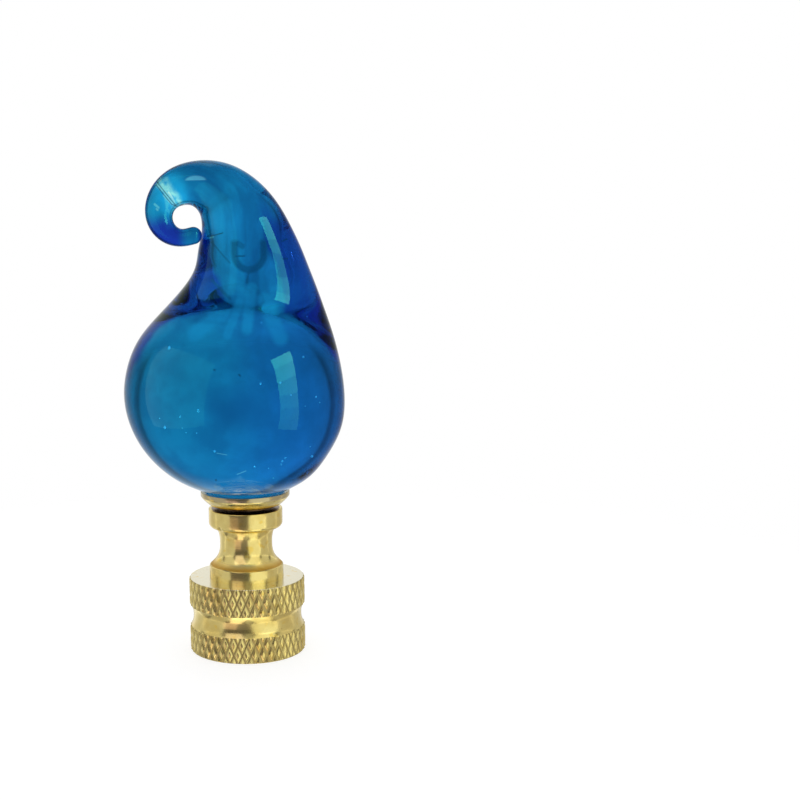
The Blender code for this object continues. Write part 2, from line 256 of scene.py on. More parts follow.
class Finish:
    """The nodes of one finish, put together in small steps."""

    def __init__(self, tree):
        self.nodes = tree.nodes
        self.links = tree.links

    def feed(self, socket, value):
        """Set a socket to a plain value, or link it."""
        if isinstance(value, bpy.types.NodeSocket):
            self.links.new(value, socket)
        else:
            socket.default_value = value

    def sums(self, operation, first, second=0.0):
        """Sum of two numbers."""
        node = self.nodes.new("ShaderNodeMath")
        node.operation = operation
        self.feed(node.inputs[0], first)
        self.feed(node.inputs[1], second)
        return node.outputs[0]

    def vectors(self, operation, first, second, out="Vector"):
        """Sum of two vectors."""
        node = self.nodes.new("ShaderNodeVectorMath")
        node.operation = operation
        self.feed(node.inputs[0], first)
        self.feed(node.inputs[1], second)
        return node.outputs[out]

    def parts(self, vector):
        """The three numbers of a vector."""
        node = self.nodes.new("ShaderNodeSeparateXYZ")
        self.links.new(vector, node.inputs[0])
        return node.outputs

    def noise(self, vector, scale, detail):
        """Soft random cloud."""
        node = self.nodes.new("ShaderNodeTexNoise")
        node.inputs["Scale"].default_value = scale
        node.inputs["Detail"].default_value = detail
        self.links.new(vector, node.inputs["Vector"])
        return node.outputs["Fac"]

    def ramp(self, value, low, high):
        """Smooth step from 0 at low to 1 at high."""
        node = self.nodes.new("ShaderNodeMapRange")
        node.interpolation_type = "SMOOTHSTEP"
        node.inputs["From Min"].default_value = low
        node.inputs["From Max"].default_value = high
        self.links.new(value, node.inputs["Value"])
        return node.outputs["Result"]

    def blend(self, share, under, over, kind="MIX"):
        """Two colours mixed or multiplied."""
        node = self.nodes.new("ShaderNodeMix")
        node.data_type = "RGBA"
        node.blend_type = kind
        self.feed(node.inputs["Factor"], share)
        self.feed(node.inputs[6], under)
        self.feed(node.inputs[7], over)
        return node.outputs[2]

    def stops(self, value, low, high, stops):
        """Colours along a value, each stop a place and one grey or three primaries."""
        turn = self.nodes.new("ShaderNodeMapRange")
        turn.inputs["From Min"].default_value = low
        turn.inputs["From Max"].default_value = high
        self.links.new(value, turn.inputs["Value"])
        ramp = self.nodes.new("ShaderNodeValToRGB")
        self.links.new(turn.outputs["Result"], ramp.inputs["Fac"])
        elements = ramp.color_ramp.elements
        elements.remove(elements[-1])
        for order, (place, *colour) in enumerate(stops):
            position = (place - low) / (high - low)
            stop = elements.new(position) if order else elements[0]
            stop.position = position
            red, green, blue = colour if len(colour) == 3 else colour * 3
            stop.color = (red, green, blue, 1.0)
        return ramp.outputs["Color"]

    def zone(self, place, centre, reach, edge=0.5):
        """1 inside an ellipsoid, falling to 0 at its reach."""
        offset = self.vectors("SUBTRACT", place, centre)
        stretch = tuple(1.0 / length for length in reach)
        spread = self.vectors("LENGTH", self.vectors("MULTIPLY", offset, stretch),
                              (0.0, 0.0, 0.0), "Value")
        return self.ramp(spread, 1.0, edge)

    def stroke(self, place, start, end, width):
        """1 along a straight line seen from the front, falling to 0 at half its width from it."""
        start, end = Vector((start[0], 0.0, start[1])), Vector((end[0], 0.0, end[1]))
        run = end - start
        offset = self.vectors("SUBTRACT", place, tuple(start))
        along = self.vectors("DOT_PRODUCT", offset, tuple(run / run.length_squared), "Value")
        along = self.sums("MINIMUM", self.sums("MAXIMUM", along, 0.0), 1.0)
        nearest = self.nodes.new("ShaderNodeVectorMath")
        nearest.operation = "SCALE"
        nearest.inputs[0].default_value = run
        self.links.new(along, nearest.inputs["Scale"])
        away = self.vectors("DISTANCE", offset, nearest.outputs["Vector"], "Value")
        return self.ramp(away, width / 2.0, width / 6.0)


def brass(name, tarnish, groove_radius, lip_height, bed_radius):
    """Yellow brass from the lathe: turning rings, tarnish, specks, darker knurl grooves, painted shade
    where the cup meets the flange, and painted light in the dish under the glass.
    """
    material = bpy.data.materials.new(name)
    material.use_nodes = True
    shader = material.node_tree.nodes["Principled BSDF"]
    shader.inputs["Metallic"].default_value = 1.0
    finish = Finish(material.node_tree)
    place = finish.nodes.new("ShaderNodeTexCoord").outputs["Object"]
    axes = finish.parts(place)
    radius = finish.vectors("LENGTH", finish.vectors("MULTIPLY", place, (1.0, 1.0, 0.0)),
                            (0.0, 0.0, 0.0), "Value")
    lathe_place = finish.nodes.new("ShaderNodeCombineXYZ")
    finish.links.new(radius, lathe_place.inputs[0])
    finish.links.new(axes[2], lathe_place.inputs[2])
    rings = finish.noise(lathe_place.outputs[0], 9000.0, 2.0)
    patches = finish.noise(place, 420.0, 4.0)
    specks = finish.ramp(finish.noise(place, 2600.0, 2.0), 0.70, 0.76)
    in_lower = finish.ramp(axes[2], LOWER_BAND_HEIGHT, LOWER_BAND_HEIGHT - EDGE_BREAK)
    in_upper = finish.sums("MULTIPLY",
                           finish.ramp(axes[2], UPPER_BAND_BOTTOM, UPPER_BAND_BOTTOM + EDGE_BREAK),
                           finish.ramp(axes[2], GRIP_TOP, GRIP_TOP - EDGE_BREAK))
    # Darker and rougher down in the knurl's grooves
    in_grooves = finish.sums("MULTIPLY", finish.ramp(radius, groove_radius, groove_radius - KNURL_DEPTH),
                       finish.sums("MAXIMUM", in_lower, in_upper))
    # Painted shade where the cup's foot meets the flange's top
    painted_joint_shade = finish.sums("MULTIPLY",
                        finish.ramp(radius, JOINT_SHADE_RADIUS + EDGE_BREAK, JOINT_SHADE_RADIUS),
                        finish.sums("MULTIPLY", finish.ramp(axes[2], BASE_TOP - EDGE_BREAK, BASE_TOP),
                                    finish.ramp(axes[2], JOINT_SHADE_TOP + EDGE_BREAK, JOINT_SHADE_TOP)))
    colour = finish.blend(finish.ramp(patches, 0.42, 0.72), YELLOW_BRASS, tarnish)
    # The cup's lip is coloured darker and greyer than its bowl
    colour = finish.blend(finish.ramp(axes[2], lip_height - EDGE_BREAK, lip_height), colour, DARK_GREY_LIP)
    # Paler colour on the flat ledge at the top of the grip
    ledge_low = finish.ramp(axes[2], GRIP_TOP - EDGE_BREAK / 2.0, GRIP_TOP - EDGE_BREAK / 4.0)
    ledge_high = finish.ramp(axes[2], GRIP_TOP + EDGE_BREAK, GRIP_TOP + EDGE_BREAK / 2.0)
    ledge = finish.sums("MULTIPLY", finish.ramp(radius, FOOT_RADIUS, FOOT_RADIUS + EDGE_BREAK),
                        finish.sums("MULTIPLY", ledge_low, ledge_high))
    colour = finish.blend(ledge, colour, PALE_LEDGE)
    gilt = finish.ramp(finish.noise(place, 1200.0, 3.0), 0.60, 0.70)
    colour = finish.blend(finish.sums("MULTIPLY", gilt, 0.55), colour, GILT)
    colour = finish.blend(finish.sums("MULTIPLY", in_grooves, 0.75), colour, GROOVE_DARK)
    colour = finish.blend(finish.sums("MULTIPLY", specks, 0.6), colour, SPECK)
    colour = finish.blend(painted_joint_shade, colour, JOINT_SHADE)
    corner_gold = finish.sums("MULTIPLY", finish.ramp(axes[2], FOOT_TOP, FOOT_TOP + EDGE_BREAK),
                              finish.ramp(axes[2], FOOT_TOP + CORNER_GOLD_HEIGHT, FOOT_TOP + EDGE_BREAK))
    colour = finish.blend(finish.sums("MULTIPLY", corner_gold, 0.85), colour, CORNER_GOLD)
    # Painted light: the bed under the glass is pale and rough, standing in for light that comes through
    # the glass
    bed_bottom = lip_height - BED_LIGHT_DEPTH
    painted_bed_light = finish.sums("MULTIPLY", finish.ramp(radius, bed_radius, bed_radius - EDGE_BREAK),
                      finish.ramp(axes[2], bed_bottom, bed_bottom + EDGE_BREAK))
    colour = finish.blend(painted_bed_light, colour, PALE_BED_LIGHT)
    finish.links.new(colour, shader.inputs["Base Color"])
    rough = finish.sums("ADD", finish.sums("MULTIPLY", patches, 0.16), 0.12)
    rough = finish.sums("ADD", rough, finish.sums("MULTIPLY", in_grooves, 0.15))
    rough = finish.sums("ADD", rough, finish.sums("MULTIPLY", painted_bed_light, 0.40))
    rough = finish.sums("ADD", rough, finish.sums("MULTIPLY", corner_gold, 0.35))
    finish.links.new(rough, shader.inputs["Roughness"])
    bump = finish.nodes.new("ShaderNodeBump")
    bump.inputs["Strength"].default_value = 0.35
    bump.inputs["Distance"].default_value = 0.000012
    finish.links.new(rings, bump.inputs["Height"])
    finish.links.new(bump.outputs["Normal"], shader.inputs["Normal"])
    return material


brass_base.data.materials.append(
    brass("turned_brass", (0.78, 0.60, 0.19, 1.0), GRIP_RADIUS, 1.0, 0.0))
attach(brass_base, "root")
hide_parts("brass_base")

# Brass cup
# A small turned cup of the same brass, screwed down on the flange. Its lip is coloured darker and
# greyer than its bowl, and the glass is cemented into the shallow dish on its top. The dish's bed is
# painted pale and rough: painted light that stands in for light coming down through the glass.

CUP_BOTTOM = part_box("brass_cup")[0].z
CUP_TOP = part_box("brass_cup")[1].z
CUP_RIM_RADIUS = 0.00486
CUP_RIM_BREAK = 0.00005
CUP_LIP_HEIGHT = 0.00048
CUP_BOWL_RADIUS = 0.00395
CUP_BOWL_HEIGHT = 0.00095
CUP_BOWL_ROUNDNESS = 1.25
CUP_FOOT_RADIUS = 0.0034
CUP_FOOT_HEIGHT = 0.00008
SEAT_GAP = 0.00015
SEAT_DOME_RADIUS = 0.0143
DISH_RADIUS = SEAT_DOME_RADIUS + SEAT_GAP
DISH_EDGE_RADIUS = CUP_RIM_RADIUS - CUP_RIM_BREAK
SEAT_CENTRE_HEIGHT = CUP_TOP + math.sqrt(DISH_RADIUS ** 2 - DISH_EDGE_RADIUS ** 2)
CUP_STEPS = 160
BED_LIGHT_RADIUS = 0.0044

cup_profile = []
for step in range(1, 17):
    dish_reach = DISH_EDGE_RADIUS * step / 16.0
    cup_profile.append((dish_reach, SEAT_CENTRE_HEIGHT - math.sqrt(DISH_RADIUS ** 2 - dish_reach ** 2)))
rim_corner = (CUP_RIM_RADIUS - CUP_RIM_BREAK, CUP_TOP - CUP_RIM_BREAK)
cup_profile += corner(rim_corner, CUP_RIM_BREAK, 60.0, 0.0, 3)
lip_bottom = CUP_TOP - CUP_LIP_HEIGHT
for step in range(15):
    share = step / 14.0
    tuck = (CUP_RIM_RADIUS - CUP_BOWL_RADIUS) * share ** CUP_BOWL_ROUNDNESS
    cup_profile.append((CUP_RIM_RADIUS - tuck, lip_bottom - CUP_BOWL_HEIGHT * share))
cup_profile += [
    (CUP_FOOT_RADIUS, CUP_BOTTOM + CUP_FOOT_HEIGHT),
    (CUP_FOOT_RADIUS, CUP_BOTTOM),
]
brass_cup = finished("brass_cup_turned", turned(cup_profile, CUP_STEPS), 32.0)
brass_cup.data.materials.append(
    brass("cup_brass", (0.70, 0.58, 0.24, 1.0), CUP_FOOT_RADIUS, lip_bottom, BED_LIGHT_RADIUS))
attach(brass_cup, "root")
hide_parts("brass_cup")

# Glass ornament
# One gather of solid blue glass, rounded into a bulb and drawn up while hot, then curled over
# until its tip touched the neck. Its surface is fire-polished.

GLASS_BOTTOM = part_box("glass_ornament")[0].z
GLASS_HEIGHT = 0.0364
BULB_RADIUS = 0.01197
CURL_TIP_FORWARD = 0.0017
BULB_RINGS = (
    (0.060, -0.006, 0.614, 1.0, 0.0),
    (0.124, -0.016, 0.806, 1.0, 0.0),
    (0.205, -0.020, 0.946, 1.0, 0.0),
    (0.300, -0.026, 0.997, 1.0, 0.0),
    (0.395, -0.026, 0.963, 0.985, 0.0),
    (0.481, -0.017, 0.874, 0.937, 0.002),
    (0.554, 0.004, 0.740, 0.878, 0.019),
)
NECK_RINGS = (
    (0.624, 0.025, 0.198, 0.89, 0.021),
    (0.692, 0.033, 0.164, 0.934, 0.011),
    (0.743, 0.027, 0.150, 0.927, 0.001),
    (0.786, 0.023, 0.1345, 0.955, 0.0),
)
CURL_EYE = (-0.155, 0.833)
CURL_RINGS = (
    (0.0, 0.042, 0.289, 0.96, 0.00),
    (25.0, 0.039, 0.235, 0.95, 0.00),
    (50.0, 0.038, 0.199, 0.94, 0.00),
    (80.0, 0.037, 0.1656, 0.94, 0.02),
    (110.0, 0.037, 0.148, 0.95, 0.06),
    (145.0, 0.041, 0.133, 0.96, 0.14),
    (180.0, 0.042, 0.121, 0.98, 0.30),
    (215.0, 0.041, 0.106, 1.00, 0.55),
    (250.0, 0.038, 0.091, 1.00, 0.80),
    (290.0, 0.031, 0.082, 1.00, 1.00),
)
DOME_RINGS = 16
TIP_RINGS = 16
RING_SPACING = 0.00028
GLASS_SIDES = 112
SMOOTHING_PASSES = 10

dome = []
for ring in range(1, DOME_RINGS + 1):
    reach = CUP_RIM_RADIUS * ring / DOME_RINGS
    rise = SEAT_DOME_RADIUS - math.sqrt(SEAT_DOME_RADIUS ** 2 - reach ** 2)
    dome.append((0.0, 0.0, GLASS_BOTTOM + rise, reach, 0.0, 1.0))

# Rings drawn: x, y, height, half width, tilt and depth share
drawn = [dome[-1]]
for height, shift, width, depth, back in BULB_RINGS:
    drawn.append((shift * GLASS_HEIGHT, back * GLASS_HEIGHT, GLASS_BOTTOM + height * GLASS_HEIGHT,
                  width * BULB_RADIUS, 0.0, depth))
for height, shift, width, depth, back in NECK_RINGS:
    drawn.append((shift * GLASS_HEIGHT, back * GLASS_HEIGHT, GLASS_BOTTOM + height * GLASS_HEIGHT,
                  width * GLASS_HEIGHT, 0.0, depth))
for degrees, inner, outer, depth, forward in CURL_RINGS:
    angle = math.radians(degrees)
    middle = (inner + outer) / 2.0
    drawn.append(((CURL_EYE[0] + middle * math.cos(angle)) * GLASS_HEIGHT,
                  -forward * CURL_TIP_FORWARD,
                  GLASS_BOTTOM + (CURL_EYE[1] + middle * math.sin(angle)) * GLASS_HEIGHT,
                  (outer - inner) / 2.0 * GLASS_HEIGHT, angle, depth))


def drawn_out(rings, spacing):
    """Run a smooth curve through the rings, and read it off at an even spacing."""
    rings = np.array(rings)
    places = np.concatenate(([0.0], np.cumsum(np.linalg.norm(np.diff(rings[:, :4], axis=0), axis=1))))
    count = len(places)
    gaps = np.diff(places)
    bend = np.eye(count)
    pull = np.zeros(rings.shape)
    for row in range(1, count - 1):
        bend[row, row - 1:row + 2] = (gaps[row - 1], 2.0 * (gaps[row - 1] + gaps[row]), gaps[row])
        pull[row] = 6.0 * ((rings[row + 1] - rings[row]) / gaps[row]
                           - (rings[row] - rings[row - 1]) / gaps[row - 1])
    bends = np.linalg.solve(bend, pull)
    smooth = []
    for place in np.linspace(0.0, places[-1], int(places[-1] / spacing)):
        row = min(int(np.searchsorted(places, place, side="right")) - 1, count - 2)
        after = place - places[row]
        before = places[row + 1] - place
        gap = gaps[row]
        smooth.append((bends[row] * before ** 3 + bends[row + 1] * after ** 3) / (6.0 * gap)
                      + (rings[row] / gap - bends[row] * gap / 6.0) * before
                      + (rings[row + 1] / gap - bends[row + 1] * gap / 6.0) * after)
    smooth = np.array(smooth)
    for _ in range(SMOOTHING_PASSES):
        smooth[1:-1] = (smooth[:-2] + 2.0 * smooth[1:-1] + smooth[2:]) / 4.0
    return [tuple(ring) for ring in smooth]


def tip(ring):
    """Round end of the curl beyond its last ring."""
    x, y, z, width, tilt, depth = ring
    rings = []
    for step in range(1, TIP_RINGS + 1):
        angle = math.radians(88.0) * step / TIP_RINGS
        reach = width * math.sin(angle)
        rings.append((x - reach * math.sin(tilt), y, z + reach * math.cos(tilt),
                      width * math.cos(angle), tilt, depth))
    return rings


def ring_frame(ring):
    """Matrix that lays a unit circle on a ring of the glass."""
    x, y, z, width, tilt, depth = ring
    across = Vector((math.cos(tilt), 0.0, math.sin(tilt)))
    through = Vector((0.0, 1.0, 0.0))
    matrix = Matrix((across * width, through * width * depth, across.cross(through))).transposed()
    matrix = matrix.to_4x4()
    matrix.translation = (x, y, z)
    return matrix


glass_rings = drawn_out(drawn, RING_SPACING)
glass_rings = dome[:-1] + glass_rings + tip(glass_rings[-1])
glass_bm = bmesh.new()
last_loop = None
for ring in glass_rings:
    circle = bmesh.ops.create_circle(glass_bm, cap_ends=False, radius=1.0, segments=GLASS_SIDES,
                                     matrix=ring_frame(ring))
    loop = list({edge for vert in circle["verts"] for edge in vert.link_edges})
    if last_loop:
        bmesh.ops.bridge_loops(glass_bm, edges=last_loop + loop)
    last_loop = loop
glass_ends = [edge for edge in glass_bm.edges if edge.is_boundary]
glass_caps = bmesh.ops.holes_fill(glass_bm, edges=glass_ends, sides=0)["faces"]
bmesh.ops.poke(glass_bm, faces=glass_caps)
glass = finished("blue_glass_ornament", glass_bm, 80.0)

TEAL = (0.007, 0.250, 0.460, 1.0)
BLUE = (0.007, 0.150, 0.500, 1.0)
ROYAL = (0.004, 0.011, 0.260, 1.0)
CURL_BLUE = (0.008, 0.030, 0.310, 1.0)
DEEP = (0.003, 0.070, 0.230, 1.0)
BRIGHT = (0.010, 0.360, 0.680, 1.0)
PALE = (0.300, 0.850, 0.760, 1.0)
WHITE = (1.0, 1.0, 1.0, 1.0)
U_SHADE_COLOUR = (0.002, 0.040, 0.110, 1.0)
FAINT_SHADE = (0.002, 0.030, 0.090, 1.0)
MARK_LIGHT = (0.9, 1.0, 0.8, 1.0)
DARK_LINE = (0.001, 0.012, 0.050, 1.0)
# Royal blue on both flanks of the neck, outside its lighter core and above the bulb's shoulder: partly
# the glass's own colour, partly painted shade of its edges
CORE_FOOT = (0.0013, 0.0384)
CORE_LEAN = 0.24
CORE_HALF_WIDTH = 0.0028
SHOULDER_CENTRE = (-0.0006, 0.0, 0.0264)
SHOULDER_REACH = 0.0119
ROYAL_SHADE_EDGE = 0.0007
ROYAL_SHADE_TOP = 0.0500
# Royal blue round the lower left of the curl: partly the glass's own colour, partly painted shade at its
# edge
CURL_SHADE_TOP = 0.0480
CURL_SHADE_RIGHT = -0.0052
# Threads drawn out with the glass, as seen from the front: start, end, width
DARK_THREADS = (
    ((-0.0086, 0.0511), (-0.00665, 0.04855), 0.00020),
    ((-0.0087, 0.0508), (-0.0071, 0.04875), 0.00018),
    ((-0.0071, 0.04875), (-0.0065, 0.0485), 0.00018),
    ((-0.0029, 0.0454), (-0.0018, 0.0457), 0.00020),
    ((-0.0005, 0.0433), (0.0004, 0.0433), 0.00022),
    ((0.0043, 0.0447), (0.0049, 0.0449), 0.00022),
    ((0.0044, 0.0429), (0.0049, 0.0429), 0.00022),
    ((-0.0029, 0.0322), (-0.0028, 0.0322), 0.00025),
    ((-0.0004, 0.0317), (-0.0003, 0.0316), 0.00025),
    ((-0.0030, 0.0204), (-0.0030, 0.0205), 0.00030),
)
FAINT_THREADS = (
    ((-0.0032, 0.0450), (-0.0011, 0.0426), 0.00026),
    ((-0.0030, 0.0408), (-0.0012, 0.0390), 0.00050),
    ((-0.0002, 0.0446), (0.0002, 0.0443), 0.00090),
    ((0.0006, 0.0406), (0.0008, 0.0416), 0.00040),
)
BRIGHT_THREADS = (
    ((0.0011, 0.0400), (0.0005, 0.0360), 0.0016),
    ((0.0024, 0.0388), (0.0039, 0.0351), 0.0022),
    ((-0.0017, 0.0378), (-0.0049, 0.0355), 0.0020),
    ((-0.0002, 0.0386), (-0.0015, 0.0355), 0.0013),
)
PALE_THREADS = (
    ((-0.0078, 0.0510), (-0.0062, 0.0490), 0.0046),
    ((-0.0076, 0.0494), (-0.0069, 0.0477), 0.0034),
)
PALER_THREADS = (
    ((-0.0080, 0.0510), (-0.0064, 0.0490), 0.0017),
    ((-0.0071, 0.0482), (-0.0062, 0.0488), 0.0014),
    ((-0.0077, 0.0496), (-0.0072, 0.0482), 0.0010),
)
PALE_MARKS = (
    ((-0.0089, 0.0488), (-0.0085, 0.04845), 0.00032),
    ((-0.0087, 0.0483), (-0.0086, 0.0482), 0.00030),
    ((-0.0074, 0.0500), (-0.0068, 0.0491), 0.00025),
    ((-0.0008, 0.0212), (0.0001, 0.0216), 0.00013),
    ((-0.0028, 0.0237), (-0.0018, 0.0235), 0.00010),
    ((-0.0031, 0.0452), (-0.0028, 0.0453), 0.00022),
)
CURL_EYE_PLACE = (-0.0056, 0.0, 0.0473)
U_SHADE_CENTRE = (0.0009, 0.0, 0.0434)
U_SHADE_RADIUS = 0.00150
U_SHADE_HEIGHT = 0.0012
U_SHADE_WIDTH = 0.0011
# Arched highlight on top of the curl
PILL_PLACE = (-0.0046, -0.0033, 0.05115)
PILL_REACH = (0.0014, 0.0020, 0.0007)

glass_material = bpy.data.materials.new("blue_glass")
glass_material.use_nodes = True
glass_shader = glass_material.node_tree.nodes["Principled BSDF"]
glass_shader.inputs["Specular Tint"].default_value = (0.08, 0.95, 0.65, 1.0)
glass_shader.inputs["Roughness"].default_value = 0.0
glass_shader.inputs["IOR"].default_value = 1.5
glass_shader.inputs["Transmission Weight"].default_value = 1.0
streaks = Finish(glass_material.node_tree)
gather = streaks.nodes.new("ShaderNodeTexCoord").outputs["Object"]
gather_axes = streaks.parts(gather)
facing = streaks.vectors("MULTIPLY", gather, (1.0, 0.0, 1.0))
near_front = streaks.ramp(gather_axes[1], 0.0, -0.0008)
clouds = streaks.noise(gather, 260.0, 5.0)
swirls = streaks.noise(streaks.vectors("ADD", gather, (0.3, 0.1, 0.2)), 150.0, 3.0)
# Wisps follow the draw of the glass: straight up the neck, then round the curl's eye
eye_axes = streaks.parts(streaks.vectors("SUBTRACT", gather, CURL_EYE_PLACE))
eye_reach = streaks.nodes.new("ShaderNodeCombineXYZ")
streaks.links.new(eye_axes[0], eye_reach.inputs[0])
streaks.links.new(streaks.sums("MAXIMUM", eye_axes[2], 0.0), eye_reach.inputs[2])
draw_axes = streaks.nodes.new("ShaderNodeCombineXYZ")
eye_distance = streaks.vectors("LENGTH", eye_reach.outputs[0], (0.0, 0.0, 0.0), "Value")
streaks.links.new(eye_distance, draw_axes.inputs[0])
streaks.links.new(gather_axes[1], draw_axes.inputs[1])
streaks.links.new(gather_axes[2], draw_axes.inputs[2])
wisps = streaks.noise(streaks.vectors("MULTIPLY", draw_axes.outputs[0], (620.0, 300.0, 90.0)), 1.0, 3.0)


def laid(colour, share, over, strength):
    """A colour laid over the glass by its share and strength."""
    return streaks.blend(streaks.sums("MULTIPLY", share, strength), colour, over)


def drawn_threads(threads, over=facing, deep=near_front):
    """Share of the glass that some threads cover, near the front or as deep as said."""
    cover = 0.0
    for start, end, width in threads:
        cover = streaks.sums("MAXIMUM", streaks.stroke(over, start, end, width), cover)
    return streaks.sums("MULTIPLY", cover, deep)


side = streaks.sums("ADD", gather_axes[0], streaks.sums("MULTIPLY", swirls, 0.012))
glass_colour = streaks.blend(streaks.ramp(side, -0.001, 0.012), TEAL, BLUE)
glass_colour = laid(glass_colour, streaks.ramp(clouds, 0.38, 0.62), DEEP, 0.58)
in_neck = streaks.ramp(gather_axes[2], 0.0345, 0.0385)
light_wisps = streaks.sums("MULTIPLY", streaks.ramp(wisps, 0.46, 0.66), in_neck)
dark_wisps = streaks.sums("MULTIPLY", streaks.ramp(wisps, 0.52, 0.36), in_neck)
glass_colour = laid(glass_colour, light_wisps, BRIGHT, 0.45)
glass_colour = laid(glass_colour, streaks.ramp(gather_axes[2], 0.0205, 0.0165), BRIGHT, 1.0)
glass_colour = laid(glass_colour, dark_wisps, DEEP, 0.65)
# Darker towards the middle of the bulb's front
front_darkening = streaks.zone(gather, (-0.0006, -0.012, 0.0284), (0.0042, 0.007, 0.0036), 0.1)
glass_colour = laid(glass_colour, front_darkening, DEEP, 0.9)
wander = streaks.sums("MULTIPLY", streaks.sums("SUBTRACT", clouds, 0.5), 0.0022)
from_core = streaks.sums("SUBTRACT", gather_axes[0], CORE_FOOT[0])
above_foot = streaks.sums("SUBTRACT", gather_axes[2], CORE_FOOT[1])
lean = streaks.sums("ADD", from_core, streaks.sums("MULTIPLY", above_foot, CORE_LEAN))
beside = streaks.sums("ADD", streaks.sums("ABSOLUTE", lean), wander)
shoulder = streaks.sums("ADD", streaks.vectors("DISTANCE", facing, SHOULDER_CENTRE, "Value"), wander)
flank_royal_and_shade = streaks.sums("MULTIPLY", streaks.ramp(beside, CORE_HALF_WIDTH, CORE_HALF_WIDTH + ROYAL_SHADE_EDGE),
                      streaks.ramp(shoulder, SHOULDER_REACH, SHOULDER_REACH + ROYAL_SHADE_EDGE))
flank_royal_and_shade = streaks.sums("MULTIPLY", flank_royal_and_shade, streaks.ramp(gather_axes[2], ROYAL_SHADE_TOP, ROYAL_SHADE_TOP - 0.004))
in_curl = streaks.sums("MULTIPLY", streaks.ramp(gather_axes[0], -0.0042, -0.0046),
                       streaks.ramp(gather_axes[2], 0.0428, 0.0434))
flank_royal_and_shade = streaks.sums("MULTIPLY", flank_royal_and_shade, streaks.sums("SUBTRACT", 1.0, in_curl))
curl_blue_and_shade = streaks.sums("MULTIPLY",
                           streaks.ramp(gather_axes[2], CURL_SHADE_TOP, CURL_SHADE_TOP - 0.0018),
                           streaks.ramp(gather_axes[0], CURL_SHADE_RIGHT, CURL_SHADE_RIGHT - 0.0016))
# Royal blue on the neck's flanks: partly its colour, partly painted shade of the edges
glass_colour = laid(glass_colour, flank_royal_and_shade, ROYAL, 0.94)
# Royal blue on the curl's lower left: partly its colour, partly painted shade
glass_colour = laid(glass_colour, streaks.sums("MULTIPLY", curl_blue_and_shade, in_curl), CURL_BLUE, 1.0)
# Painted shade: a dark U-shaped band on the neck, standing in for an image the glass refracts there,
# with darker glass laid inside the U
u_shade_offset = streaks.parts(streaks.vectors("SUBTRACT", gather, U_SHADE_CENTRE))
u_shade_rise = streaks.sums("MAXIMUM", streaks.sums("SUBTRACT", u_shade_offset[2], U_SHADE_HEIGHT), 0.0)
u_shade_axes = streaks.nodes.new("ShaderNodeCombineXYZ")
streaks.links.new(u_shade_offset[0], u_shade_axes.inputs[0])
streaks.links.new(streaks.sums("MINIMUM", u_shade_offset[2], 0.0), u_shade_axes.inputs[2])
u_shade_reach = streaks.vectors("LENGTH", u_shade_axes.outputs[0], (0.0, 0.0, 0.0), "Value")
u_shade_away = streaks.sums("ABSOLUTE", streaks.sums("SUBTRACT", u_shade_reach, U_SHADE_RADIUS))
painted_u_shade = streaks.sums("MULTIPLY", streaks.ramp(u_shade_away, U_SHADE_WIDTH / 2.0, U_SHADE_WIDTH / 6.0),
                         streaks.ramp(u_shade_rise, 0.0006, 0.0))
painted_u_fill_shade = streaks.sums("MULTIPLY", streaks.ramp(u_shade_reach, U_SHADE_RADIUS + 0.0003, U_SHADE_RADIUS),
                         streaks.ramp(u_shade_rise, 0.0025, 0.0))
glass_colour = laid(glass_colour, streaks.sums("MULTIPLY", painted_u_fill_shade, near_front), DEEP, 0.35)
glass_colour = laid(glass_colour, streaks.sums("MULTIPLY", painted_u_shade, near_front), U_SHADE_COLOUR, 0.9)
glass_colour = laid(glass_colour, drawn_threads(BRIGHT_THREADS), BRIGHT, 0.7)
glow_wander = streaks.vectors("MULTIPLY", streaks.noise(gather, 700.0, 3.0), (0.0010, 0.0, 0.0010))
glow_place = streaks.vectors("ADD", facing, glow_wander)
glow_place = streaks.vectors("SUBTRACT", glow_place, (0.0005, 0.0, 0.0005))
flecks = streaks.ramp(streaks.noise(gather, 1300.0, 3.0), 0.30, 0.62)
glass_colour = laid(glass_colour, drawn_threads(PALE_THREADS, glow_place, 1.0), BRIGHT, 0.75)
glass_colour = laid(glass_colour, drawn_threads(PALER_THREADS, glow_place, flecks), PALE, 0.95)
pill = streaks.sums("MULTIPLY", streaks.zone(gather, PILL_PLACE, PILL_REACH, 0.8),
                    streaks.ramp(gather_axes[2], PILL_PLACE[2], PILL_PLACE[2] + 0.0001))
glass_colour = laid(glass_colour, pill, WHITE, 0.95)
glass_colour = laid(glass_colour, drawn_threads(FAINT_THREADS), FAINT_SHADE, 0.6)
glass_colour = laid(glass_colour, drawn_threads(PALE_MARKS), MARK_LIGHT, 0.7)
glass_colour = laid(glass_colour, drawn_threads(DARK_THREADS), DARK_LINE, 0.85)
streaks.links.new(glass_colour, glass_shader.inputs["Base Color"])
absorption = streaks.nodes.new("ShaderNodeVolumeAbsorption")
absorption.inputs["Color"].default_value = (0.55, 0.76, 0.83, 1.0)
absorption.inputs["Density"].default_value = 30.0
streaks.links.new(absorption.outputs[0], streaks.nodes["Material Output"].inputs["Volume"])
glass.data.materials.append(glass_material)
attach(glass, "root")
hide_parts("glass_ornament")

# Seeds
# Fine bubbles of air caught in the glass while it was gathered, most of them low in the bulb.

